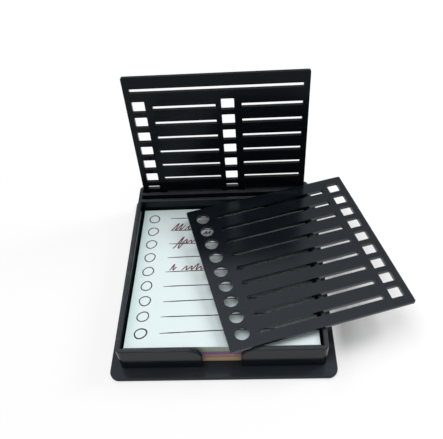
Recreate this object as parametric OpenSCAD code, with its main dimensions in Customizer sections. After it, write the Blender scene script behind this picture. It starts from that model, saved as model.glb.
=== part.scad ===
// Desk tray for a pad of square sticky notes, with two slots at the back for drawing stencils.
// One stencil stands in the rear slot, the other lies askew across the rim.
// The origin is on the table, under the middle of the tray's walls. X is to the right, Y to the back, Z up.

/* [Note pad] */
// Side of the square notes
note_size = 76.2; // [60:0.1:102]
// Room left at the pad's sides and front in the tray
note_room = 1.1; // [0.5:0.1:3]
// Room left between the pad's glued back edge and the pocket's back wall
back_room = 1.3; // [0.5:0.1:3]
// Rise of the pad's free front edge over its glued back edge
note_curl = 3.2; // [0:0.1:5]
// Height of each paper block at the front edge, from the lowest to the top one
block_heights = [2.6, 1.2, 1.4, 2.3, 3.2, 0.6];

/* [Tray] */
// How far the tray's rim stands above the pad's front edge
rim_rise = 1.9; // [0.5:0.1:12]
// Thickness of every wall of the tray
wall_t = 1.8; // [1.4:0.1:3]
// Thickness of the tray's floor and of the foot flange
floor_t = 1.8; // [1.4:0.1:3]
// Radius of the tray's upright corners on the inside
corner_inner_r = 0.2; // [0.1:0.1:3]
// Rounding of the edges of walls and flange
edge_r = 0.5; // [0.2:0.05:0.65]

/* [Foot flange] */
// How far the flange sticks out at the left, the right and the back
flange_side = 4.2; // [2:0.1:10]
// How far the flange sticks out at the front
flange_front = 4.7; // [2:0.1:12]
// Radius of the flange's corners
flange_corner_r = 4; // [1:0.5:12]

/* [Thumb notch] */
// Width of the notch between its upright sides
notch_w = 15.2; // [8:0.2:30]
// Radius of the rounded shoulders beside the notch
shoulder_r = 6; // [3:0.5:11]

/* [Stencil slots] */
// Thickness of both stencils
stencil_t = 1.6; // [0.8:0.1:3]
// Room across each slot beside the stencil's thickness
slot_room = 1; // [0.8:0.1:2]
// Radius of the stencils' corners
stencil_corner_r = 0.9; // [0.5:0.1:4]
// Rounding of the stencils' outer edges
stencil_edge_r = 0.3; // [0.1:0.05:0.4]
// Width of the long slots cut in both stencils
line_w = 2.1; // [1:0.1:3]
// How far a row's line lies below the middle of its square or round cuts
line_drop = 0.8; // [0:0.1:1.5]

/* [Standing stencil] */
// Room beside the standing stencil, short of the rounded corners of its slot
standing_room = 0.1; // [0.1:0.1:2]
// Height of the standing stencil
standing_h = 76.2; // [60:0.1:90]
// Backward lean of the standing stencil, in degrees
standing_lean = 1.6; // [0:0.1:2.5]
// Border left at the sides of its cuts
standing_margin = 2.7; // [2:0.1:5]
// Distance from its top edge to the long title slot
title_drop = 6.5; // [4:0.1:12]
// Distance from the title slot to the first row
title_gap = 8; // [6:0.1:16]
// Distance between its rows
standing_pitch = 8; // [7:0.1:12]
// Least distance from the middle of its last row to its lower edge
standing_end = 5; // [4:0.1:12]
// Side of its square cuts
tick_size = 5.5; // [3:0.1:6]
// Distance between its two columns
column_pitch = 38; // [30:0.1:46]
// Solid stretch between a square and its line
tick_gap = 3.2; // [1.5:0.1:6]
// Solid stretch between the two columns
column_gap = 2.4; // [1.5:0.1:6]

/* [Loose stencil] */
// Room beside the loose stencil when it stands in its own slot
loose_room = 1.1; // [0.3:0.1:4]
// Height of the loose stencil
loose_h = 75.5; // [60:0.1:90]
// How far its middle lies inside the tray's right face
loose_inset = 11; // [7:0.1:15]
// Its turn on the rim, in degrees
loose_turn = 16; // [5:0.1:25]
// Air between it and the standing stencil
loose_air = 0.5; // [0.1:0.1:5]
// Distance from its back edge to the first row
loose_first_row = 6.5; // [5:0.1:12]
// Distance between its rows
loose_pitch = 7.8; // [7:0.1:12]
// Least distance from the middle of its last row to its front edge
loose_end = 6; // [5:0.1:12]
// Radius of its round cuts
bullet_r = 3; // [1:0.1:3.3]
// Distance from its left edge to the middle of its round cuts
bullet_margin = 6.5; // [5:0.1:9]
// Side of its square cuts
box_size = 5.3; // [2:0.1:6]
// Distance from its right edge to the middle of its square cuts
box_margin = 5.7; // [5:0.1:9]
// Solid stretch between a round cut and its line
bullet_gap = 3.7; // [1.5:0.1:8]
// Solid stretch between a line and its square cut
box_gap = 3; // [1.5:0.1:8]

/* [Hidden] */
$fn = 64;
// How far a cutting shape runs past the face that it cuts
over = 1;
// Corner radius of the square cuts and of the slots' ends
cut_r = 0.3;
// Air between the leaning stencil and the slot's rear wall
lean_air = 0.1;
// Number of flats along the curled pad, from back to front
curl_steps = 12;
// Share of the curl that grows evenly, the rest grows with the square of the distance
curl_even = 0.5;
// Most that the rounding of an edge takes of a plate's or wall's thickness
edge_share = 0.4;

// Sum of the first n entries of a list
function sum_first(list, n) = n < 1 ? 0 : list[n - 1] + sum_first(list, n - 1);

// Height of the pad at its front edge, and of the rim over the table
pad_front_h = sum_first(block_heights, len(block_heights));
tray_h = floor_t + pad_front_h + rim_rise;
slot_w = stencil_t + slot_room;
tray_edge_r = min(edge_r, edge_share * wall_t, edge_share * floor_t);
// Outside corner radius and outside size of the walls
corner_r = corner_inner_r + wall_t;
inner_w = note_size + 2 * note_room;
pocket_d = note_room + note_size + back_room;
tray_w = inner_w + 2 * wall_t;
tray_d = pocket_d + 4 * wall_t + 2 * slot_w;
front_y = -tray_d / 2;
back_y = tray_d / 2;
// Front edge of the pad, and front faces of the two cross walls behind it
pad_y = front_y + wall_t + note_room;
pocket_wall_y = front_y + wall_t + pocket_d;
mid_wall_y = pocket_wall_y + wall_t + slot_w;
// Front face of the rear wall, which is the back of the rear slot
rear_wall_y = back_y - wall_t;
flange_w = tray_w + 2 * flange_side;
flange_d = tray_d + flange_front + flange_side;
flange_y = (flange_side - flange_front) / 2;

standing_w = inner_w - 2 * (corner_inner_r + standing_room);
standing_first_row = title_drop + title_gap;
standing_rows = 1 + floor((standing_h - standing_first_row - standing_end) / standing_pitch);
// The standing stencil's lower back edge, and its front face at the height of the rim
standing_foot_y = rear_wall_y - lean_air - (tray_h - floor_t) * tan(standing_lean);
standing_face_y = rear_wall_y - lean_air - stencil_t / cos(standing_lean);

loose_w = inner_w - 2 * loose_room;
loose_rows = 1 + floor((loose_h - loose_first_row - loose_end) / loose_pitch);
loose_x = tray_w / 2 - loose_inset;
// The loose stencil's back edge passes just in front of the standing stencil's right corner
loose_y = standing_face_y + ((loose_x - standing_w / 2) * sin(loose_turn)
    - loose_air - loose_h / 2) / cos(loose_turn);

// A rectangle with round corners, centred on the origin
module rounded_rect(w, d, r) {
    square([w, d - 2 * r], center = true);
    square([w - 2 * r, d], center = true);
    for (x = [-1, 1], y = [-1, 1])
        translate([x * (w / 2 - r), y * (d / 2 - r)]) circle(r);
}

// A flat bar's section with its top edges rounded: x is its thickness, y its height
module wall_section(t, h, r) {
    square([t, h - r]);
    translate([r, 0]) square([t - 2 * r, h]);
    for (x = [r, t - r]) translate([x, h - r]) circle(r);
}

// Sweeps a section round a rounded rectangle. The section's x is measured from the corner's centre.
// The sides are 0 for the right, 1 for the back, 2 for the left and 3 for the front.
module sweep_around(w, d, r, sides = [0, 1, 2, 3]) {
    for (k = [0 : 3]) {
        across = k % 2 == 0 ? w : d;
        along = k % 2 == 0 ? d : w;
        rotate(90 * k) translate([across / 2 - r, along / 2 - r])
            rotate_extrude(angle = 90) children();
    }
    for (k = sides) {
        across = k % 2 == 0 ? w : d;
        along = k % 2 == 0 ? d : w;
        rotate(90 * k) translate([across / 2 - r, along / 2 - r, 0])
            rotate([90, 0, 0]) linear_extrude(along - 2 * r) children();
    }
}

// A flat plate with round corners, whose upper and lower outer edges are rounded too
module soft_plate(w, d, r, t, edge) {
    linear_extrude(t) square([w - 2 * r, d - 2 * r], center = true);
    sweep_around(w, d, r) {
        square([r - edge, t]);
        translate([0, edge]) square([r, t - 2 * edge]);
        for (y = [edge, t - edge]) translate([r - edge, y]) circle(edge);
    }
}

// Walls at the right, the back and the left, with all four corners
module side_walls() {
    sweep_around(tray_w, tray_d, corner_r, [0, 1, 2])
        translate([corner_inner_r, 0]) wall_section(wall_t, tray_h, tray_edge_r);
}

// One half of the front wall: a straight run, a rounded shoulder, and the upright side of the notch
module front_wall_half() {
    shoulder_x = notch_w / 2 + shoulder_r;
    shoulder_z = tray_h - shoulder_r;
    translate([shoulder_x, front_y, 0]) rotate([90, 0, 90])
        linear_extrude(tray_w / 2 - corner_r - shoulder_x) wall_section(wall_t, tray_h, tray_edge_r);
    translate([shoulder_x, front_y + wall_t, shoulder_z]) rotate([90, 0, 0]) rotate(90)
        rotate_extrude(angle = 90) mirror([1, -1]) wall_section(wall_t, shoulder_r, tray_edge_r);
    translate([shoulder_x, front_y, 0]) rotate(90)
        linear_extrude(shoulder_z) wall_section(wall_t, shoulder_r, tray_edge_r);
}

// A cross wall between the side walls, with a rounded top; y is its front face
module cross_wall(y) {
    length = tray_w - wall_t;
    translate([-length / 2, y, 0]) rotate([90, 0, 90])
        linear_extrude(length) wall_section(wall_t, tray_h, tray_edge_r);
}

// The tray is one moulding: floor with foot flange, outer walls and two cross walls
module tray() {
    color([0.13, 0.14, 0.15]) {
        translate([0, flange_y, 0]) soft_plate(flange_w, flange_d, flange_corner_r, floor_t, tray_edge_r);
        side_walls();
        front_wall_half();
        mirror([1, 0, 0]) front_wall_half();
        cross_wall(pocket_wall_y);
        cross_wall(mid_wall_y);
    }
}

// A stencil without its cuts, flat on its back, with the middle of its upper edge at the origin
module stencil_plate(w, h) {
    edge = min(stencil_edge_r, edge_share * stencil_t);
    translate([0, -h / 2, 0]) soft_plate(w, h, stencil_corner_r, stencil_t, edge);
}

// A cut right through a stencil, with the cut's outline as its child
module stencil_cut() {
    translate([0, 0, -over]) linear_extrude(stencil_t + 2 * over) children();
}

// A long slot between two places across the stencil
module long_slot(from_x, to_x) {
    translate([(from_x + to_x) / 2, 0]) rounded_rect(to_x - from_x, line_w, cut_r);
}

// The line of a row, a little below the row's middle
module row_line(from_x, to_x) {
    translate([0, -line_drop]) long_slot(from_x, to_x);
}

// Two columns of tick squares, each with its line, below one long slot for a title
module standing_pattern() {
    left = -standing_w / 2 + standing_margin;
    right = standing_w / 2 - standing_margin;
    columns = [[left, left + column_pitch - column_gap], [left + column_pitch, right]];
    translate([0, -title_drop]) long_slot(left, right);
    for (row = [0 : standing_rows - 1], column = columns)
        translate([0, -standing_first_row - row * standing_pitch]) {
            translate([column[0] + tick_size / 2, 0]) rounded_rect(tick_size, tick_size, cut_r);
            row_line(column[0] + tick_size + tick_gap, column[1]);
        }
}

// Rows of a round bullet, a line and a square box
module loose_pattern() {
    bullet_x = -loose_w / 2 + bullet_margin;
    box_x = loose_w / 2 - box_margin;
    for (row = [0 : loose_rows - 1])
        translate([0, -loose_first_row - row * loose_pitch]) {
            translate([bullet_x, 0]) circle(bullet_r);
            row_line(bullet_x + bullet_r + bullet_gap, box_x - box_size / 2 - box_gap);
            translate([box_x, 0]) rounded_rect(box_size, box_size, cut_r);
        }
}

// The standing stencil leans back in the rear slot, with its lower back edge on the tray's floor
module standing_stencil() {
    color([0.12, 0.13, 0.14])
        translate([0, standing_foot_y, floor_t]) rotate([90 - standing_lean, 0, 0])
            translate([0, standing_h, 0]) difference() {
                stencil_plate(standing_w, standing_h);
                stencil_cut() standing_pattern();
            }
}

// The loose stencil lies flat on the tray's rim
module loose_stencil() {
    color([0.2, 0.21, 0.22])
        translate([loose_x, loose_y, tray_h]) rotate(loose_turn)
            translate([0, loose_h / 2, 0]) difference() {
                stencil_plate(loose_w, loose_h);
                stencil_cut() loose_pattern();
            }
}

// Height of the whole pad at a share of the way from its back edge to its front edge
function pad_height(share) =
    pad_front_h - note_curl * (1 - curl_even * share - (1 - curl_even) * share * share);

// The upper face of the first n blocks, as points from the back edge to the front edge
function block_face(n) = [for (i = [0 : curl_steps])
    [note_size * (1 - i / curl_steps),
     pad_height(i / curl_steps) * sum_first(block_heights, n) / pad_front_h]];

// One block of the pad, counted from 0 for the lowest
module note_block(n) {
    lower = block_face(n);
    upper = block_face(n + 1);
    outline = concat(lower, [for (i = [curl_steps : -1 : 0]) upper[i]]);
    translate([-note_size / 2, pad_y, floor_t]) rotate([90, 0, 90])
        linear_extrude(note_size) polygon(outline);
}

module notes_yellow() { color([0.93, 0.86, 0.62]) note_block(0); }
module notes_peach() { color([0.9, 0.72, 0.58]) note_block(1); }
module notes_pink() { color([0.88, 0.66, 0.68]) note_block(2); }
module notes_lavender() { color([0.7, 0.64, 0.78]) note_block(3); }
module notes_green() { color([0.7, 0.8, 0.66]) note_block(4); }
module notes_aqua() { color([0.87, 0.95, 0.95]) note_block(5); }

tray();
standing_stencil();
loose_stencil();
notes_yellow();
notes_peach();
notes_pink();
notes_lavender();
notes_green();
notes_aqua();
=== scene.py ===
"""Sticky note dispenser: the finishes, the paper and the pen marks round its CAD frame.

The tray and both stencils keep their CAD solids and get a moulded plastic finish. The pad's colour
blocks are rebuilt sheet by sheet along the same curl. Pen marks lie on the top sheet: bullets and
lines as they come from a stencil, and wavy strokes in some of the rows.
"""

import logging
import math
import random
from collections.abc import Iterable, Iterator, Mapping, Sequence
from dataclasses import dataclass, field
from enum import Enum
from typing import ClassVar

import bpy
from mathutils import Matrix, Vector


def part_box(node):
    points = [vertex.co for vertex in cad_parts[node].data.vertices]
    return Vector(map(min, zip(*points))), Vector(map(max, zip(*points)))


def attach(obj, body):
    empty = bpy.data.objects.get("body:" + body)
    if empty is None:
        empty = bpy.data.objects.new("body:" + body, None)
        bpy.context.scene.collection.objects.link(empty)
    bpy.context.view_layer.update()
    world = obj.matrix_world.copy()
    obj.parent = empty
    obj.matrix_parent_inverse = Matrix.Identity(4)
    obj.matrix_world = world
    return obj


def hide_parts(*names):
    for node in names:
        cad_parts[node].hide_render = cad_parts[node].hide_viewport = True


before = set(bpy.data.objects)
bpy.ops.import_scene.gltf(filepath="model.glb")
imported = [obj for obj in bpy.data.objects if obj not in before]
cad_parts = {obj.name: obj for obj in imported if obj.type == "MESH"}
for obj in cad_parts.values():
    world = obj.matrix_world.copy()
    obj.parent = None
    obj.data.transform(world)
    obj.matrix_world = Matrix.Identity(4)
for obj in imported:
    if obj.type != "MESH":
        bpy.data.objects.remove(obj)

MM = 0.001
BODY = "root"
log = logging.getLogger("note_dispenser")

Colour = tuple[float, float, float, float]
Triple = tuple[float, float, float]
Point = tuple[float, float]
Span = tuple[float, float]
Face = tuple[int, ...]

WHITE: Colour = (1.0, 1.0, 1.0, 1.0)
FULL_CHANNEL = 255
CURVE_FOOT, FOOT_SLOPE = 0.04045, 12.92
CURVE_OFFSET, CURVE_POWER = 0.055, 2.4
NOISE_MIDDLE = 0.5


def linear(value: int) -> float:
    """Takes a screen's curve out of one colour channel.

    Args:
        value: The channel as a screen shows it, from 0 to 255.

    Returns:
        The amount of light, from 0 to 1.
    """
    share = value / FULL_CHANNEL
    if share <= CURVE_FOOT:
        return share / FOOT_SLOPE
    return ((share + CURVE_OFFSET) / (1 + CURVE_OFFSET)) ** CURVE_POWER


def daylight(red: int, green: int, blue: int) -> Colour:
    """A shader's linear colour for a colour as a screen shows it, from 0 to 255."""
    return linear(red), linear(green), linear(blue), 1.0


class Signal:
    """A number that a shader works out at each point of a surface, used in plain arithmetic."""

    def __init__(self, tree: "ShaderTree", socket: bpy.types.NodeSocket) -> None:
        """Wraps one output socket of a node tree."""
        self.tree = tree
        self.socket = socket

    def __add__(self, other: "Signal | float") -> "Signal":
        """Adds a number."""
        return self.tree.math("ADD", self, other)

    def __radd__(self, other: float) -> "Signal":
        """Adds to a plain number."""
        return self.tree.math("ADD", other, self)

    def __sub__(self, other: "Signal | float") -> "Signal":
        """Takes a number away."""
        return self.tree.math("SUBTRACT", self, other)

    def __rsub__(self, other: float) -> "Signal":
        """Takes this away from a plain number."""
        return self.tree.math("SUBTRACT", other, self)

    def __mul__(self, other: "Signal | float") -> "Signal":
        """Multiplies by a number."""
        return self.tree.math("MULTIPLY", self, other)

    def __rmul__(self, other: float) -> "Signal":
        """Multiplies a plain number."""
        return self.tree.math("MULTIPLY", other, self)

    def __truediv__(self, other: "Signal | float") -> "Signal":
        """Divides by a number."""
        return self.tree.math("DIVIDE", self, other)

    def __rtruediv__(self, other: float) -> "Signal":
        """Divides a plain number."""
        return self.tree.math("DIVIDE", other, self)

    def __pow__(self, other: "Signal | float") -> "Signal":
        """Raises to a power."""
        return self.tree.math("POWER", self, other)

    def __rpow__(self, other: float) -> "Signal":
        """Raises a plain number to this power."""
        return self.tree.math("POWER", other, self)

    def __neg__(self) -> "Signal":
        """Turns the sign."""
        return self.tree.math("MULTIPLY", self, -1.0)

    def __abs__(self) -> "Signal":
        """Drops the sign."""
        return self.tree.math("ABSOLUTE", self, 0.0)

    def clamped(self) -> "Signal":
        """Keeps the number between 0 and 1."""
        return self.tree.math("ADD", self, 0.0, clamp=True)


SocketValue = Signal | bpy.types.NodeSocket | float | Sequence[float]


class ShaderTree:
    """The node tree of a material or a world, filled node by node.

    A Mix node has a socket of the same name for each kind of value, so its colour sockets are
    found by their numbers.
    """

    MIX_FACTOR, MIX_FIRST, MIX_SECOND = 0, 6, 7
    MIX_RESULT = 2

    def __init__(self, owner: bpy.types.Material | bpy.types.World) -> None:
        """Starts the tree of its owner.

        Args:
            owner: The material or world that the nodes belong to.
        """
        owner.use_nodes = True
        self.owner = owner
        self.nodes = owner.node_tree.nodes
        self.links = owner.node_tree.links

    def add(
        self,
        kind: str,
        settings: Mapping[str, object] | None = None,
        inputs: Mapping[str | int, SocketValue] | None = None,
    ) -> bpy.types.Node:
        """Adds a node.

        Args:
            kind: The node's type.
            settings: What is set on the node first, such as a Math node's operation.
            inputs: A value, a signal or a socket for each input that isn't left alone.

        Returns:
            The new node.
        """
        node = self.nodes.new(kind)
        for name, setting in (settings or {}).items():
            setattr(node, name, setting)
        for name, value in (inputs or {}).items():
            self.feed(node.inputs[name], value)
        return node

    def feed(self, socket: bpy.types.NodeSocket, value: SocketValue) -> None:
        """Links a signal or a socket to an input, or sets a plain value on it.

        Args:
            socket: The input.
            value: What it gets.
        """
        if isinstance(value, Signal):
            self.links.new(value.socket, socket)
        elif isinstance(value, bpy.types.NodeSocket):
            self.links.new(value, socket)
        else:
            socket.default_value = value

    def math(
        self, operation: str, first: Signal | float, second: Signal | float, clamp: bool = False
    ) -> Signal:
        """Adds a Math node.

        Args:
            operation: The node's operation.
            first: The first number.
            second: The second number.
            clamp: Whether the result is kept between 0 and 1.

        Returns:
            The result.
        """
        settings = {"operation": operation, "use_clamp": clamp}
        node = self.add("ShaderNodeMath", settings, {0: first, 1: second})
        return Signal(self, node.outputs[0])

    def mix(self, factor: Signal, first: SocketValue, second: SocketValue) -> bpy.types.NodeSocket:
        """Mixes two colours.

        Args:
            factor: 0 for the first colour, 1 for the second. It is kept between the two.
            first: The first colour.
            second: The second colour.

        Returns:
            The mixed colour.
        """
        inputs = {self.MIX_FACTOR: factor.clamped(), self.MIX_FIRST: first, self.MIX_SECOND: second}
        return self.add("ShaderNodeMix", {"data_type": "RGBA"}, inputs).outputs[self.MIX_RESULT]

    def place(self) -> bpy.types.NodeSocket:
        """The point's place in the object's own frame, in metres."""
        return self.add("ShaderNodeTexCoord").outputs["Object"]

    def axes(self, vector: SocketValue) -> tuple[Signal, Signal, Signal]:
        """Splits a vector into its x, y and z."""
        x, y, z = self.add("ShaderNodeSeparateXYZ", inputs={0: vector}).outputs
        return Signal(self, x), Signal(self, y), Signal(self, z)

    def stored(self, name: str) -> Signal:
        """A number that is stored on the mesh."""
        node = self.add("ShaderNodeAttribute", {"attribute_name": name})
        return Signal(self, node.outputs["Fac"])

    def stretched(self, scale: Triple) -> bpy.types.NodeSocket:
        """The point's place multiplied along each axis, for a texture that is longer one way."""
        inputs = {0: self.place(), 1: scale}
        return self.add("ShaderNodeVectorMath", {"operation": "MULTIPLY"}, inputs).outputs[0]

    def noise(self, size: float, detail: float, place: SocketValue | None = None) -> Signal:
        """Cloudy noise from 0 to 1.

        Args:
            size: Rough width of one patch, in metres, or in the units of the place that is given.
            detail: How much finer noise is laid over it.
            place: Where it is read, or None for the point's own place.

        Returns:
            The noise.
        """
        vector = self.place() if place is None else place
        inputs = {"Vector": vector, "Scale": 1 / size, "Detail": detail}
        return Signal(self, self.add("ShaderNodeTexNoise", inputs=inputs).outputs["Fac"])

    def bump(
        self, height: Signal, depth: float, under: bpy.types.NodeSocket | None = None
    ) -> bpy.types.NodeSocket:
        """Tilts the normal as a relief does.

        Args:
            height: The relief's height, as a share of its depth.
            depth: The relief's depth, in metres.
            under: The normal of a coarser relief that this one lies on, or None.

        Returns:
            The tilted normal.
        """
        inputs: dict[str | int, SocketValue] = {"Height": height, "Distance": depth, "Strength": 1.0}
        if under is not None:
            inputs["Normal"] = under
        return self.add("ShaderNodeBump", inputs=inputs).outputs["Normal"]


class Tint(Enum):
    """The pad's paper colours, from the lowest block to the top one."""

    YELLOW = "yellow"
    PEACH = "peach"
    PINK = "pink"
    LAVENDER = "lavender"
    GREEN = "green"
    AQUA = "aqua"

    @property
    def node(self) -> str:
        """The CAD node of this colour's block."""
        return f"notes_{self.value}"

    @property
    def slot(self) -> str:
        """The record's material slot of this colour."""
        return f"paper_{self.value}"


@dataclass(frozen=True)
class MouldedPlastic:
    """Black injection-moulded plastic: grain, ripples, smudges, scuffs, a rubbed rim and painted
    highlights on rim and foot.

    A pattern's size is the width of one patch, and its detail says how much finer noise lies over
    it. Its start and gain say where it sets in and how sharply.

    Attributes:
        name: The material's name.
        colour: The plain plastic.
        wear_and_highlight_colour: The plastic where it is rubbed or scuffed, and the painted
            highlight along the rim and the foot.
        specular: How strongly it mirrors.
        specular_tint: The tint of what it mirrors.
        roughness: Its mean roughness.
        roughness_swing: How far the smudges change the roughness.
        scuff_scale: How fast the scuffs change along x, y and z, per metre. They run along x.
        scuff_share: How much of the wear and highlight colour a scuff shows.
        rim_height: Height of the rim, which is rubbed and carries a painted highlight, or 0 for a
            plate without one.
        rim_wear_and_highlight_share: How much of that colour the rim shows, as wear and painted
            highlight.
        rim_scuffs: How much more it shows where it is scuffed.
        foot_height: Height of the foot flange's top edge, along which a highlight is painted.
        foot_highlight_share: How much of that colour the edge shows as a painted highlight.
        wear_and_highlight_depth: How far the rim's and the foot's lines reach from their edges.
        draft: Slope of the upright walls, shown by shading alone, or 0.
        upward_pale: How far faces that look up turn a paler grey, from 0 to 1.
        upward_pale_start: The upward share of a face's normal at which the paler grey begins.
    """

    name: str
    colour: Colour
    wear_and_highlight_colour: Colour = daylight(40, 43, 47)
    specular: float = 0.5
    specular_tint: Colour = (0.9, 1.0, 1.09, 1.0)
    roughness: float = 0.2
    roughness_swing: float = 0.12
    smudge_size: float = 14 * MM
    smudge_detail: float = 4.0
    scuff_scale: Triple = (90.0, 900.0, 900.0)
    scuff_detail: float = 5.0
    scuff_start: float = 0.52
    scuff_gain: float = 6.0
    scuff_share: float = 0.12
    rim_height: float = 0.0
    rim_wear_and_highlight_share: float = 0.5
    rim_scuffs: float = 0.3
    foot_height: float = 0.0
    foot_highlight_share: float = 0.6
    wear_and_highlight_depth: float = 0.5 * MM
    draft: float = 0.0
    ripple_size: float = 9 * MM
    ripple_detail: float = 1.0
    ripple_depth: float = 0.012 * MM
    grain_size: float = 0.35 * MM
    grain_detail: float = 3.0
    grain_depth: float = 0.0025 * MM
    upward_pale: float = 0.0
    upward_pale_colour: Colour = daylight(104, 108, 114)
    upward_pale_start: float = 0.6
    upward_pale_gain: float = 2.5

    def material(self) -> bpy.types.Material:
        """Builds the material.

        Returns:
            The plastic as a node material.
        """
        tree = ShaderTree(bpy.data.materials.new(self.name))
        shader = tree.nodes["Principled BSDF"]
        shader.inputs["Specular IOR Level"].default_value = self.specular
        shader.inputs["Specular Tint"].default_value = self.specular_tint
        _, _, height = tree.axes(tree.place())
        smudge = tree.noise(self.smudge_size, self.smudge_detail)
        colour = tree.mix(self._wear_and_highlight(tree, height), self.colour, self.wear_and_highlight_colour)
        if self.upward_pale:
            colour = tree.mix(self._upward_pale_mask(tree, smudge), colour, self.upward_pale_colour)
        roughness = self.roughness + (smudge - NOISE_MIDDLE) * self.roughness_swing
        tree.feed(shader.inputs["Base Color"], colour)
        tree.feed(shader.inputs["Roughness"], roughness)
        tree.feed(shader.inputs["Normal"], self._relief(tree, height))
        return tree.owner

    def _wear_and_highlight(self, tree: ShaderTree, height: Signal) -> Signal:
        """Finds the scuffs all over, the rim's line of wear and painted highlight, and the painted
        highlight along the foot.

        Args:
            tree: The material's tree.
            height: The point's height in the row frame.

        Returns:
            How much of the wear and highlight colour the point gets.
        """
        streaks = tree.noise(1.0, self.scuff_detail, tree.stretched(self.scuff_scale))
        scuffs = ((streaks - self.scuff_start) * self.scuff_gain).clamped()
        wear_and_highlight_mask = scuffs * self.scuff_share
        # Along the rim the colour is rubbed wear plus a painted highlight of its rounded edge; along
        # the foot it is a painted highlight where the wall meets the flange.
        if self.rim_height:
            rim_wear_and_highlight = ((height - (self.rim_height - self.wear_and_highlight_depth)) / self.wear_and_highlight_depth).clamped()
            foot_painted_highlight = (1 - abs(height - self.foot_height) / self.wear_and_highlight_depth).clamped()
            wear_and_highlight_mask = wear_and_highlight_mask + rim_wear_and_highlight * (self.rim_wear_and_highlight_share + scuffs * self.rim_scuffs)
            wear_and_highlight_mask = wear_and_highlight_mask + foot_painted_highlight * self.foot_highlight_share
        return wear_and_highlight_mask

    def _upward_pale_mask(self, tree: ShaderTree, smudge: Signal) -> Signal:
        """Finds how far faces that look up turn a paler grey.

        Args:
            tree: The material's tree.
            smudge: The noise that makes it uneven.

        Returns:
            How much of the paler grey the point gets.
        """
        _, _, upright = tree.axes(tree.add("ShaderNodeTexCoord").outputs["Normal"])
        facing_up = ((upright - self.upward_pale_start) * self.upward_pale_gain).clamped()
        return facing_up * (NOISE_MIDDLE + smudge) * self.upward_pale

    def _relief(self, tree: ShaderTree, height: Signal) -> bpy.types.NodeSocket:
        """Lays the ripples and the grain over each other, on sloping walls where there is a draft.

        Args:
            tree: The material's tree.
            height: The point's height in the row frame.

        Returns:
            The tilted normal.
        """
        wall = tree.bump(-height, self.draft) if self.draft else None
        ripple = tree.noise(self.ripple_size, self.ripple_detail)
        grain = tree.noise(self.grain_size, self.grain_detail)
        return tree.bump(grain, self.grain_depth, tree.bump(ripple, self.ripple_depth, wall))


@dataclass(frozen=True)
class NotePaper:
    """Uncoated note paper: a pale tint with faint fibres, fine lines where its sheets meet, and
    where asked, painted shade along its left and back edges.

    Attributes:
        name: The material's name.
        colour: The paper's face.
        edge_colour: The paper where it is darkest, as in the lines between the sheets.
        line_scale: How fast the lines change along the block, per metre.
        sheet_step: How far the lines' noise moves from one sheet to the next.
        mottle_share: How much the soft mottle darkens the paper.
        fibre_share: How much the fibres darken it.
        painted_shade_corner: The left and back edge along which the walls' shade is painted, or None
            for none.
        painted_shade_fall: How fast the painted shade fades away from its edge, as a power.
        painted_shade_share: How much of the painted shade's colour it shows at the edge.
        back_shade_share: Strength of the painted shade along the back, against the one at the left.
    """

    name: str
    colour: Colour
    edge_colour: Colour
    roughness: float = 0.82
    line_scale: float = 60.0
    line_detail: float = 3.0
    line_start: float = 0.38
    line_gain: float = 3.2
    line_contrast: float = 0.55
    sheet_step: float = 0.9
    mottle_size: float = 5 * MM
    mottle_detail: float = 3.0
    mottle_share: float = 0.1
    fibre_size: float = 0.22 * MM
    fibre_detail: float = 2.0
    fibre_share: float = 0.08
    fibre_depth: float = 0.004 * MM
    # Painted shade along the left and back edges, where the tray's walls shade the top sheet.
    painted_shade_corner: Point | None = None
    painted_shade_width: float = 7 * MM
    painted_shade_colour: Colour = daylight(186, 220, 218)
    painted_shade_fall: float = 2.0
    painted_shade_share: float = 0.7
    back_shade_share: float = 0.4

    def material(self) -> bpy.types.Material:
        """Builds the material.

        Returns:
            The paper as a node material.
        """
        tree = ShaderTree(bpy.data.materials.new(self.name))
        shader = tree.nodes["Principled BSDF"]
        shader.inputs["Roughness"].default_value = self.roughness
        across, deep, _ = tree.axes(tree.place())
        fibres = tree.noise(self.fibre_size, self.fibre_detail)
        mottle = tree.noise(self.mottle_size, self.mottle_detail)
        paper_tone = self._sheet_lines(tree, across, deep)
        paper_tone = paper_tone + (mottle - NOISE_MIDDLE) * self.mottle_share
        paper_tone = paper_tone + (fibres - NOISE_MIDDLE) * self.fibre_share
        colour = tree.mix(paper_tone, self.colour, self.edge_colour)
        # Painted shade along the left and back edges, where the walls shade the sheet.
        if self.painted_shade_corner is not None:
            colour = tree.mix(self._painted_shade(across, deep), colour, self.painted_shade_colour)
        tree.feed(shader.inputs["Base Color"], colour)
        tree.feed(shader.inputs["Normal"], tree.bump(fibres, self.fibre_depth))
        return tree.owner

    def _sheet_lines(self, tree: ShaderTree, across: Signal, deep: Signal) -> Signal:
        """Draws a fine line along the edge of each sheet.

        Args:
            tree: The material's tree.
            across: The point's x.
            deep: The point's y.

        Returns:
            How dark the line is at the point, and 0 on the upper and lower faces.
        """
        sheet, side = tree.stored("sheet"), tree.stored("side")
        parts = {0: across * self.line_scale, 1: deep * self.line_scale, 2: sheet * self.sheet_step}
        place = tree.add("ShaderNodeCombineXYZ", inputs=parts).outputs[0]
        gaps = tree.noise(1.0, self.line_detail, place)
        lines = ((gaps - self.line_start) * self.line_gain).clamped()
        return (1 - lines) * side * self.line_contrast

    def _painted_shade(self, across: Signal, deep: Signal) -> Signal:
        """Paints shade on the paper near its left and back edges, where the walls shade it.

        Args:
            across: The point's x.
            deep: The point's y.

        Returns:
            How much of the painted shade's colour the point gets.
        """
        left, back = self.painted_shade_corner
        shade_left = (1 - (across - left) / self.painted_shade_width).clamped() ** self.painted_shade_fall
        shade_back = (1 - (back - deep) / self.painted_shade_width).clamped() ** self.painted_shade_fall
        return (shade_left + shade_back * self.back_shade_share) * self.painted_shade_share


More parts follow.
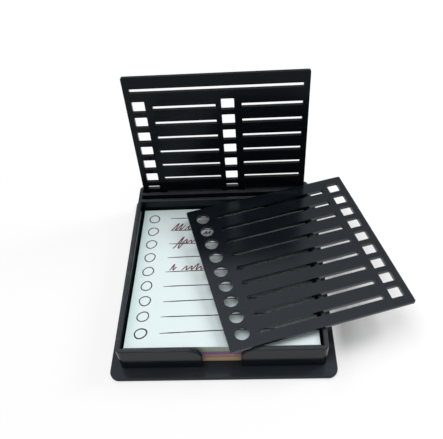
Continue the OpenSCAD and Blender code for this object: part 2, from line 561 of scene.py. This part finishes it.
@dataclass(frozen=True)
class PenInk:
    """Ink of a fine pen, thinner and paler in patches.

    Attributes:
        name: The material's name.
        colour: The ink where it is thick.
        thin_colour: The ink where it is thin.
        patch_size: Width of one patch.
        patch_detail: How much finer noise lies over the patches.
        thin_start: Where in the noise the ink begins to thin.
        thin_gain: How sharply it thins.
    """

    name: str
    colour: Colour
    thin_colour: Colour
    roughness: float = 0.55
    patch_size: float = 1.6 * MM
    patch_detail: float = 3.0
    thin_start: float = 0.45
    thin_gain: float = 4.0

    def material(self) -> bpy.types.Material:
        """Builds the material.

        Returns:
            The ink as a node material.
        """
        tree = ShaderTree(bpy.data.materials.new(self.name))
        shader = tree.nodes["Principled BSDF"]
        shader.inputs["Roughness"].default_value = self.roughness
        patches = tree.noise(self.patch_size, self.patch_detail)
        thin = (patches - self.thin_start) * self.thin_gain
        tree.feed(shader.inputs["Base Color"], tree.mix(thin, self.colour, self.thin_colour))
        return tree.owner


def mesh_piece(
    name: str, vertices: Iterable[Triple], faces: Iterable[Face], material: bpy.types.Material
) -> bpy.types.Object:
    """Makes a mesh object in the row frame that moves with the one body.

    Args:
        name: The piece's name.
        vertices: The corners, in metres.
        faces: The corners of each face, by number.
        material: The finish.

    Returns:
        The new object.
    """
    mesh = bpy.data.meshes.new(name)
    mesh.from_pydata(list(vertices), [], list(faces))
    mesh.update()
    mesh.materials.append(material)
    piece = bpy.data.objects.new(name, mesh)
    bpy.context.scene.collection.objects.link(piece)
    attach(piece, BODY)
    return piece


def dress_node(node: str, material: bpy.types.Material) -> bpy.types.Object:
    """Gives a CAD node its finish in place of the plain one.

    Args:
        node: The node's name.
        material: The finish.

    Returns:
        The node's object.
    """
    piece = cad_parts[node]
    piece.data.materials.clear()
    piece.data.materials.append(material)
    return piece


@dataclass
class Tray:
    """The one-piece tray: foot flange, walls, thumb notch and slots.

    Attributes:
        node: Its CAD node.
        foot_top: Height of the foot flange.
        draft: Slope of its upright walls, which only its shading shows.
        upward_pale: How far its faces that look up turn a paler grey.
    """

    node: str = "tray"
    foot_top: float = 2 * MM
    colour: Colour = daylight(17, 21, 26)
    # Lighter than the default, so that the painted highlights along the rim and the foot show
    # brighter.
    wear_and_highlight_colour: Colour = daylight(60, 64, 69)
    specular: float = 0.19
    roughness: float = 0.16
    draft: float = 0.07
    upward_pale: float = 0.07

    def dress(self) -> bpy.types.Object:
        """Gives the tray its plastic, rubbed and with a painted highlight along the rim, and a
        painted highlight along the foot.

        Returns:
            The tray.
        """
        finish = MouldedPlastic(
            "tray_black_plastic",
            self.colour,
            self.wear_and_highlight_colour,
            specular=self.specular,
            roughness=self.roughness,
            rim_height=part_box(self.node)[1].z,
            foot_height=self.foot_top,
            draft=self.draft,
            upward_pale=self.upward_pale,
        )
        return dress_node(self.node, finish.material())


@dataclass
class StencilPair:
    """The standing stencil in the rear slot and the loose one on the rim.

    Attributes:
        standing: The CAD node of the standing stencil.
        standing_finish: Its plastic, a darker copy of the loose stencil's as painted shade of the
            upright plate. It mirrors little and turns a paler grey on faces that look up.
        loose: The CAD node of the loose stencil.
        loose_finish: Its plastic, which is glossier.
    """

    standing: str = "standing_stencil"
    # A darker copy of the stencil plastic: painted shade for the plate that stands upright.
    standing_finish: MouldedPlastic = MouldedPlastic(
        "standing_black_plastic", daylight(8, 12, 16), specular=0.12, upward_pale=0.08
    )
    loose: str = "loose_stencil"
    loose_finish: MouldedPlastic = MouldedPlastic(
        "loose_black_plastic", daylight(13, 17, 22), smudge_size=18 * MM
    )

    def dress(self) -> list[bpy.types.Object]:
        """Gives both plates their plastic.

        Returns:
            The standing stencil and the loose one.
        """
        finishes = {self.standing: self.standing_finish, self.loose: self.loose_finish}
        return [dress_node(node, finish.material()) for node, finish in finishes.items()]


@dataclass
class PadShape:
    """The outer shape of the pad, read from its CAD blocks, with its free front edge curled up.

    Attributes:
        curl_even: Share of the rise that is a straight slope. The rest grows towards the front.
        left: The pad's left edge, in the row frame, as are the next four.
        right: Its right edge.
        front: Its front edge.
        back: Its back edge.
        floor: Its lower face.
        front_height: Its height at the front.
        back_height: Its height at the back.
    """

    curl_even: float = 0.5
    left: float = field(init=False)
    right: float = field(init=False)
    front: float = field(init=False)
    back: float = field(init=False)
    floor: float = field(init=False)
    front_height: float = field(init=False)
    back_height: float = field(init=False)

    def __post_init__(self) -> None:
        """Reads the sizes from the frame."""
        low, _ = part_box(Tint.YELLOW.node)
        top_low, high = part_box(Tint.AQUA.node)
        below_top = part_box(Tint.GREEN.node)[1].z
        self.left, self.front, self.floor = low
        self.right, self.back = high.x, high.y
        self.front_height = high.z - self.floor
        self.back_height = self.front_height * (top_low.z - self.floor) / (below_top - self.floor)

    def height(self, y: float) -> float:
        """The pad's height over the tray's floor.

        Args:
            y: The place from front to back, in the row frame.

        Returns:
            The height, in metres.
        """
        share = (self.back - y) / (self.back - self.front)
        rise = self.curl_even * share + (1 - self.curl_even) * share * share
        return self.back_height + (self.front_height - self.back_height) * rise

    def top(self, y: float) -> float:
        """The height of the top sheet in the row frame."""
        return self.floor + self.height(y)


@dataclass
class NoteBlock:
    """One colour's paper block, made of separate sheets that lie a little unevenly.

    Attributes:
        shape: The pad that the block is a part of.
        tint: The block's place in the pad.
        finish: Its paper.
        sheet_thickness: Height of one sheet at the front.
        uneven: How far a sheet may lie out of line.
        steps: Number of steps along the curl.
        side_tilt: A face with a smaller upward share of its normal than this is a side.
    """

    shape: PadShape
    tint: Tint
    finish: NotePaper
    sheet_thickness: float = 0.1 * MM
    uneven: float = 0.05 * MM
    steps: int = 24
    side_tilt: float = 0.7

    def build(self, rng: random.Random) -> bpy.types.Object:
        """Builds the block in place of its CAD node.

        Args:
            rng: Source of the sheets' small shifts.

        Returns:
            The block.
        """
        low, high = self._shares()
        count = max(1, round((high - low) * self.shape.front_height / self.sheet_thickness))
        vertices: list[Triple] = []
        layers: list[float] = []
        for sheet in range(count):
            shift = (rng.uniform(-self.uneven, self.uneven), rng.uniform(-self.uneven, self.uneven))
            for edge in (sheet, sheet + 1):
                vertices += self._ring(low + (high - low) * edge / count, shift)
                layers += [float(sheet)] * self._ring_size
        rings = 2 * count
        faces = self._side_faces(rings) + self._caps(rings - 1)
        block = mesh_piece(f"paper_{self.tint.value}", vertices, faces, self.finish.material())
        self._mark(block, layers)
        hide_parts(self.tint.node)
        self.tint.slot
        return block

    @property
    def _ring_size(self) -> int:
        """Number of corners round one sheet."""
        return 2 * (self.steps + 1)

    def _shares(self) -> tuple[float, float]:
        """Finds where the block begins and ends, as shares of the pad's height at the front.

        Returns:
            The share at its lowest sheet and the share at its top.
        """
        tints = list(Tint)
        place = tints.index(self.tint)
        heights = [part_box(tint.node)[1].z - self.shape.floor for tint in tints]
        low = heights[place - 1] if place else 0.0
        return low / self.shape.front_height, heights[place] / self.shape.front_height

    def _ring(self, share: float, shift: Point) -> list[Triple]:
        """Lays the corners round a sheet: down the left side from the back, then up the right side.

        Args:
            share: The sheet's place, as a share of the pad's height.
            shift: How far the sheet lies out of line.

        Returns:
            The corners.
        """
        shape = self.shape
        depth = shape.front - shape.back
        places = [shape.back + depth * i / self.steps for i in range(self.steps + 1)]
        levels = [(y + shift[1], shape.floor + shape.height(y) * share) for y in places]
        left = [(shape.left + shift[0], y, z) for y, z in levels]
        right = [(shape.right + shift[0], y, z) for y, z in reversed(levels)]
        return left + right

    def _side_faces(self, rings: int) -> list[Face]:
        """Joins each ring to the next, all round the block.

        Args:
            rings: Number of rings.

        Returns:
            The faces.
        """
        size = self._ring_size
        faces: list[Face] = []
        for start in range(0, (rings - 1) * size, size):
            for i in range(size):
                j = (i + 1) % size
                faces.append((start + i, start + j, start + size + j, start + size + i))
        return faces

    def _caps(self, last_ring: int) -> list[Face]:
        """Closes the lowest and the top ring, in strips from back to front.

        Args:
            last_ring: Number of the top ring.

        Returns:
            The faces.
        """
        base = last_ring * self._ring_size
        faces: list[Face] = []
        for left in range(self.steps):
            right = self._ring_size - 1 - left
            faces.append((left, right, right - 1, left + 1))
            faces.append((base + left, base + left + 1, base + right - 1, base + right))
        return faces

    def _mark(self, block: bpy.types.Object, layers: Sequence[float]) -> None:
        """Stores which sheet a point belongs to, and whether a face is one of the sides.

        Args:
            block: The block.
            layers: The number of the sheet at each corner.
        """
        mesh = block.data
        sides = [float(abs(polygon.normal.z) < self.side_tilt) for polygon in mesh.polygons]
        mesh.attributes.new("sheet", "FLOAT", "POINT").data.foreach_set("value", layers)
        mesh.attributes.new("side", "FLOAT", "FACE").data.foreach_set("value", sides)


@dataclass
class NotePad:
    """The whole pad of six colour blocks, each with the colours of its sheets' faces and edges."""

    shape: PadShape
    seed: int = 11
    finishes: dict[Tint, tuple[Colour, Colour]] = field(default_factory=lambda: {
        Tint.YELLOW: (daylight(222, 198, 164), daylight(168, 144, 112)),
        Tint.PEACH: (daylight(196, 158, 128), daylight(140, 106, 84)),
        Tint.PINK: (daylight(190, 146, 152), daylight(136, 98, 106)),
        Tint.LAVENDER: (daylight(146, 126, 160), daylight(98, 82, 114)),
        Tint.GREEN: (daylight(172, 183, 166), daylight(118, 129, 110)),
        Tint.AQUA: (daylight(228, 241, 242), daylight(176, 198, 198)),
    })

    def build(self) -> list[bpy.types.Object]:
        """Builds all the blocks.

        Returns:
            The blocks, from the lowest to the top one.
        """
        rng = random.Random(self.seed)
        blocks = []
        for tint, (colour, edge_colour) in self.finishes.items():
            # Only the top sheet gets painted shade along its left and back edges.
            shade_corner = (self.shape.left, self.shape.back) if tint is Tint.AQUA else None
            finish = NotePaper(f"note_paper_{tint.value}", colour, edge_colour, painted_shade_corner=shade_corner)
            blocks.append(NoteBlock(self.shape, tint, finish).build(rng))
        return blocks


@dataclass(frozen=True)
class Wave:
    """A wavy pen stroke that shrinks and grows as it runs.

    Attributes:
        row: The row that it stands on.
        start_mm: Its start, from left to right.
        end_mm: Its end.
        over_mm: How far its lowest places are over the row.
        height_mm: Its greatest height.
        crests: Number of waves.
        lean: How far each crest leans forward, as a share of its height.
        swell_middle: Mean height of the crests, as a share of the greatest.
        swell_size: How far they shrink and grow from it.
        swell_turn: How often they shrink and grow along the stroke.
        swell_start: Where in that they start, for each crest of the stroke.
    """

    row: int
    start_mm: float
    end_mm: float
    over_mm: float
    height_mm: float
    crests: float
    lean: float
    points_a_crest: int = 18
    fewest_points: int = 12
    swell_middle: float = 0.72
    swell_size: float = 0.28
    swell_turn: float = 2.3
    swell_start: float = 1.1

    def points(self, row_y: float) -> list[Point]:
        """Draws the stroke.

        Args:
            row_y: The place of its row.

        Returns:
            The stroke's points.
        """
        start, end = self.start_mm * MM, self.end_mm * MM
        base = row_y + self.over_mm * MM
        count = max(self.fewest_points, round(self.crests * self.points_a_crest))
        points = []
        for i in range(count + 1):
            share = i / count
            angle = math.tau * self.crests * share
            turn = self.swell_turn * math.tau * share + self.swell_start * self.crests
            swell = self.swell_middle + self.swell_size * math.cos(turn)
            crest = (1 - math.cos(angle)) / 2 * self.height_mm * MM * swell
            points.append((start + (end - start) * share + self.lean * crest, base + crest))
        return points


@dataclass
class PenMarks:
    """Pen marks on the top sheet: a bullet and a line in each row, and wavy strokes in some rows.

    Attributes:
        shape: The pad that they lie on.
        pitch: Distance from row to row.
        first_row: Distance of the first row from the back edge.
        bullet_x: Place of the first bullet, from left to right.
        bullet_drift: How far each bullet is to the right of the one behind it.
        bullet_turns: How far round the pen goes for a bullet, so that its ends run past each other.
        last_turns: The same for the last bullet, which is gone over again.
        bullet_starts: The angles between which the pen starts a bullet.
        bullet_shifts: How far a bullet may be out of place, sideways and lengthways.
        ovals: How far a bullet is out of round, with two bulges and with three.
        growth: How much wider a bullet gets as the pen goes round.
        line_starts: How far a line may start from line_start.
        line_tilt: How much the last line rises to the right. The first is level.
        line_tilts: The shares of its tilt between which each line has its own.
        line_ease: Share of the tilt that a line has lost at its end.
        line_bends: How far a line may bend.
        line_sway: How often it does, as an angle over its length.
        line_shifts_mm: How far each line is off its row's place.
        tip_width: Width of a stroke's end, as a share of the pen's.
        tip_step: How much wider it gets with each point.
        lift: How far the ink stands over the sheet.
        sink: How far it reaches into the sheet.
    """

    SECTION_CORNERS: ClassVar[int] = 4

    shape: PadShape
    rows: int = 9
    pitch: float = 7.95 * MM
    first_row: float = 6.03 * MM
    bullet_x: float = -32.95 * MM
    bullet_drift: float = 0.1 * MM
    bullet_long: float = 2.42 * MM
    bullet_short: float = 2.25 * MM
    bullet_tilt: float = math.radians(35)
    bullet_turns: float = 1.06
    last_turns: float = 1.9
    bullet_starts: Span = (1.4, 2.6)
    bullet_shifts: tuple[float, float] = (0.1 * MM, 0.08 * MM)
    points_a_turn: int = 40
    ovals: tuple[float, float] = (0.035, 0.025)
    growth: float = 0.07
    line_start: float = -25.0 * MM
    line_end: float = 26.0 * MM
    line_starts: Span = (-0.3 * MM, 0.5 * MM)
    line_tilt: float = math.radians(2.2)
    line_tilts: Span = (0.8, 1.1)
    line_ease: float = 0.5
    line_bends: Span = (0.1 * MM, 0.3 * MM)
    line_sway: float = 5.0
    line_steps: int = 34
    line_shifts_mm: tuple[float, ...] = (0.4, 0.3, 0.1, -0.3, -0.3, -0.5, -0.4, -0.3, 0.0)
    pen_width: float = 0.5 * MM
    tip_width: float = 0.55
    tip_step: float = 0.15
    lift: float = 0.015 * MM
    sink: float = 0.02 * MM
    seed: int = 5
    dark_ink: PenInk = PenInk("pen_ink_dark", daylight(50, 32, 52), daylight(96, 78, 98))
    maroon_ink: PenInk = PenInk("pen_ink_maroon", daylight(92, 14, 44), daylight(134, 52, 78))
    waves: tuple[Wave, ...] = (
        Wave(1, -24.4, -19.4, 0.5, 4.6, 2.5, 0.55),
        Wave(1, -18.4, -9.4, 0.5, 2.5, 4.5, 0.6),
        Wave(1, -9.6, -6.2, -2.4, 1.8, 2.0, 0.6),
        Wave(2, -22.9, -19.0, -2.8, 7.2, 1.5, 0.5),
        Wave(2, -18.8, -6.0, 0.5, 2.8, 6.0, 0.6),
        Wave(4, -23.4, -20.8, 0.5, 3.4, 1.5, 0.4),
        Wave(4, -18.0, -4.0, 0.5, 3.4, 6.5, 0.6),
    )

    def build(self) -> list[bpy.types.Object]:
        """Builds the bullets, the lines and the wavy strokes.

        Returns:
            The three pieces.
        """
        rng = random.Random(self.seed)
        dark = self.dark_ink.material()
        bullets = [self._bullet(row, rng) for row in range(self.rows)]
        lines = [self._line(row, rng) for row in range(self.rows)]
        waves = [wave.points(self._row_y(wave.row)) for wave in self.waves]
        return [
            self._piece("pen_bullets", bullets, dark),
            self._piece("pen_lines", lines, dark),
            self._piece("pen_scribbles", waves, self.maroon_ink.material()),
        ]

    def _row_y(self, row: int) -> float:
        """Place of a row on the sheet, counted from the back."""
        return self.shape.back - self.first_row - row * self.pitch

    def _bullet(self, row: int, rng: random.Random) -> list[Point]:
        """Draws a round bullet by hand, a little long one way.

        Args:
            row: Its row.
            rng: Source of its small flaws.

        Returns:
            The stroke's points.
        """
        turns = self.last_turns if row == self.rows - 1 else self.bullet_turns
        start = rng.uniform(*self.bullet_starts)
        second, third = rng.uniform(0, math.tau), rng.uniform(0, math.tau)
        shift_x, shift_y = (rng.uniform(-shift, shift) for shift in self.bullet_shifts)
        middle_x = self.bullet_x + self.bullet_drift * row + shift_x
        middle_y = self._row_y(row) + shift_y
        cosine, sine = math.cos(self.bullet_tilt), math.sin(self.bullet_tilt)
        count = round(self.points_a_turn * turns)
        points = []
        for i in range(count + 1):
            share = i / count
            angle = start + math.tau * turns * share
            wobble = 1 - self.growth / 2 + self.growth * share
            wobble += self.ovals[0] * math.sin(2 * angle + second)
            wobble += self.ovals[1] * math.sin(3 * angle + third)
            along = self.bullet_long * wobble * math.cos(angle)
            aside = self.bullet_short * wobble * math.sin(angle)
            x = middle_x + along * cosine - aside * sine
            y = middle_y + along * sine + aside * cosine
            points.append((x, y))
        return points

    def _line(self, row: int, rng: random.Random) -> list[Point]:
        """Draws a line along a slot, a little tilted and not quite straight.

        Args:
            row: Its row.
            rng: Source of its small flaws.

        Returns:
            The stroke's points.
        """
        tilt = self.line_tilt * row / (self.rows - 1) * rng.uniform(*self.line_tilts)
        bend = rng.uniform(*self.line_bends)
        phase = rng.uniform(0, math.tau)
        start = self.line_start + rng.uniform(*self.line_starts)
        level = self._row_y(row) + self.line_shifts_mm[row] * MM
        points = []
        for i in range(self.line_steps + 1):
            share = i / self.line_steps
            x = start + (self.line_end - start) * share
            rise = (x - start) * math.tan(tilt) * (1 - self.line_ease * share)
            points.append((x, level + rise + bend * math.sin(phase + self.line_sway * share)))
        return points

    def _piece(
        self, name: str, strokes: Iterable[list[Point]], ink: bpy.types.Material
    ) -> bpy.types.Object:
        """Lays strokes on the top sheet as thin bands of ink.

        Args:
            name: The piece's name.
            strokes: The middle line of each stroke.
            ink: The finish.

        Returns:
            One mesh with every stroke.
        """
        vertices: list[Triple] = []
        faces: list[Face] = []
        step = self.SECTION_CORNERS
        for stroke in strokes:
            first = len(vertices)
            for section in self._sections(stroke):
                vertices += section
            last = len(vertices) - step
            for i in range(first, last, step):
                for k in range(step):
                    m = (k + 1) % step
                    faces.append((i + k, i + step + k, i + step + m, i + m))
            faces.append(tuple(range(first, first + step)))
            faces.append(tuple(reversed(range(last, last + step))))
        return mesh_piece(name, vertices, faces, ink)

    def _sections(self, stroke: Sequence[Point]) -> Iterator[list[Triple]]:
        """Cuts through a band of ink at each point of its stroke.

        Args:
            stroke: The band's middle line.

        Returns:
            The four corners of each section, narrower near the stroke's ends.
        """
        last = len(stroke) - 1
        for i, (x, y) in enumerate(stroke):
            before, after = stroke[max(0, i - 1)], stroke[min(last, i + 1)]
            run = Vector((after[0] - before[0], after[1] - before[1])).normalized()
            width = self.pen_width * min(1.0, self.tip_width + self.tip_step * min(i, last - i))
            side = Vector((-run.y, run.x)) * width / 2
            left, right = (x + side.x, y + side.y), (x - side.x, y - side.y)
            yield [
                (*left, self.shape.top(left[1]) - self.sink),
                (*left, self.shape.top(left[1]) + self.lift),
                (*right, self.shape.top(right[1]) + self.lift),
                (*right, self.shape.top(right[1]) - self.sink),
            ]


@dataclass(frozen=True)
class Softbox:
    """A rectangular lamp that faces a point of the object.

    It isn't mirrored in the object, so that the black plastic shows only the white surroundings.
    """

    name: str
    place: Triple
    aim: Triple
    size: tuple[float, float]
    power: float

    def build(self) -> None:
        """Hangs the lamp."""
        data = bpy.data.lights.new(self.name, "AREA")
        data.shape = "RECTANGLE"
        data.size, data.size_y = self.size
        data.energy = self.power
        lamp = bpy.data.objects.new(self.name, data)
        bpy.context.scene.collection.objects.link(lamp)
        lamp.visible_glossy = False
        lamp.location = self.place
        sight = Vector(self.aim) - Vector(self.place)
        lamp.rotation_euler = sight.to_track_quat("-Z", "Y").to_euler()


@dataclass
class Studio:
    """The white table, the lamps, the white surroundings and the camera.

    Attributes:
        focal_px: The camera's focal length, in pixels of the photograph.
        fade_start: Distance from the middle at which the table's shadow starts to fade.
        fade_end: Distance at which it has faded to plain white.
        shadow_side: The table keeps its full shadow to the right of this place.
        shadow_blend: Width of the change there.
        side_glow: How far the shadow has already faded to the left of it.
        sky_light: Light that the surroundings throw on the object.
        band_dim: How much darker a band in the surroundings is, as the plastic mirrors it.
        band_top: Height at which the band ends, as the upward share of a direction.
        band_foot: Height at which it begins.
        band_back: How fast it sets in towards the back.
    """

    camera_place: Triple = (0.01245, -0.14914, 0.20292)
    camera_turn_deg: Triple = (42.265, 3.31, 0.722)
    focal_px: float = 551.17
    photo_width_px: int = 443
    sensor_mm: float = 36.0
    clip_start: float = 10 * MM
    table_half: float = 3.0
    table_colour: Colour = (0.97, 0.97, 0.968, 1.0)
    fade_start: float = 85 * MM
    fade_end: float = 220 * MM
    shadow_side: float = 50 * MM
    shadow_blend: float = 10 * MM
    side_glow: float = 0.75
    sky_light: float = 0.46
    band_dim: float = 0.5
    band_top: float = 0.74
    band_top_blend: float = 0.12
    band_foot: float = 0.3
    band_foot_blend: float = 0.2
    band_back: float = 3.0
    lamps: tuple[Softbox, ...] = (
        Softbox("main_softbox", (-0.1, 0.13, 0.75), (0.0, 0.0, 0.0), (0.6, 0.75), 2.62),
        Softbox("right_softbox", (0.5, 0.2, 0.42), (0.0, 0.0, 0.01), (0.2, 0.3), 2.1),
    )

    def build(self) -> None:
        """Sets up everything round the object."""
        bpy.context.scene.view_settings.view_transform = "Standard"
        self._camera()
        self._surroundings()
        self._table()
        for lamp in self.lamps:
            lamp.build()
        log.info("studio: table and %d lamps", len(self.lamps))

    def _camera(self) -> None:
        """Puts the camera where the photograph was taken from."""
        data = bpy.data.cameras.new("photo_camera")
        data.sensor_width = self.sensor_mm
        data.lens = self.sensor_mm * self.focal_px / self.photo_width_px
        data.clip_start = self.clip_start
        camera = bpy.data.objects.new("photo_camera", data)
        bpy.context.scene.collection.objects.link(camera)
        camera.location = self.camera_place
        camera.rotation_euler = [math.radians(angle) for angle in self.camera_turn_deg]
        bpy.context.scene.camera = camera

    @staticmethod
    def _sight(tree: ShaderTree) -> tuple[Signal, Signal]:
        """Makes two masks of how a point is seen.

        Args:
            tree: The tree that uses them.

        Returns:
            1 for what is seen straight, and 1 for what is mirrored or seen through glass.
        """
        path = tree.add("ShaderNodeLightPath")
        straight, glossy, through = (
            Signal(tree, path.outputs[name])
            for name in ("Is Camera Ray", "Is Glossy Ray", "Is Transmission Ray")
        )
        return straight, glossy + through

    def _surroundings(self) -> None:
        """Makes white surroundings that light the object softly and are mirrored in its plastic.

        A band at the back is mirrored darker, so that the far end of the loose stencil is dark.
        """
        world = bpy.data.worlds.new("studio_white")
        bpy.context.scene.world = world
        tree = ShaderTree(world)
        background = tree.nodes["Background"]
        background.inputs["Color"].default_value = WHITE
        straight, mirrored = self._sight(tree)
        _, back, up = tree.axes(tree.add("ShaderNodeTexCoord").outputs["Generated"])
        below_top = 1 - ((up - self.band_top) / self.band_top_blend).clamped()
        over_foot = ((up - self.band_foot) / self.band_foot_blend).clamped()
        band = below_top * over_foot * (back * self.band_back).clamped()
        mirror_light = 1 - self.sky_light - band * self.band_dim
        strength = self.sky_light + straight * (1 - self.sky_light) + mirrored * mirror_light
        tree.feed(background.inputs["Strength"], strength)

    def _table(self) -> None:
        """Lays a white table that keeps the shadow near the object.

        The shadow fades to plain white further out. It is fainter everywhere but at the right,
        under the loose stencil's overhang.
        """
        half = self.table_half
        corners = [(-half, -half, 0), (half, -half, 0), (half, half, 0), (-half, half, 0)]
        mesh = bpy.data.meshes.new("table")
        mesh.from_pydata(corners, [], [(0, 1, 2, 3)])
        tree = ShaderTree(bpy.data.materials.new("white_table"))
        tree.nodes.clear()
        length = tree.add("ShaderNodeVectorMath", {"operation": "LENGTH"}, {0: tree.place()})
        distance = Signal(tree, length.outputs["Value"])
        across, _, _ = tree.axes(tree.place())
        straight, mirrored = self._sight(tree)
        fade = ((distance - self.fade_start) / (self.fade_end - self.fade_start)).clamped()
        near = ((self.shadow_side - across) / self.shadow_blend).clamped() * self.side_glow
        share = straight * (near + fade * (1 - near)) + mirrored
        white = tree.add("ShaderNodeEmission", inputs={"Color": WHITE, "Strength": 1.0})
        lit = tree.add("ShaderNodeBsdfDiffuse", inputs={"Color": self.table_colour})
        seen = {0: share, 1: lit.outputs[0], 2: white.outputs[0]}
        surface = tree.add("ShaderNodeMixShader", inputs=seen).outputs[0]
        tree.add("ShaderNodeOutputMaterial", inputs={"Surface": surface})
        mesh.materials.append(tree.owner)
        table = bpy.data.objects.new("table", mesh)
        bpy.context.scene.collection.objects.link(table)


def main() -> None:
    """Builds the studio, dresses the CAD pieces and makes the paper and the pen marks."""
    logging.basicConfig(level=logging.INFO, format="%(name)s: %(message)s")
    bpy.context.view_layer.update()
    Studio().build()
    pieces = [Tray().dress(), *StencilPair().dress()]
    shape = PadShape()
    pieces += NotePad(shape).build()
    pieces += PenMarks(shape).build()
    for piece in pieces:
        finish = piece.data.materials[0].name
        log.info("%s: %d faces in %s", piece.name, len(piece.data.polygons), finish)


if __name__ == "__main__":
    main()
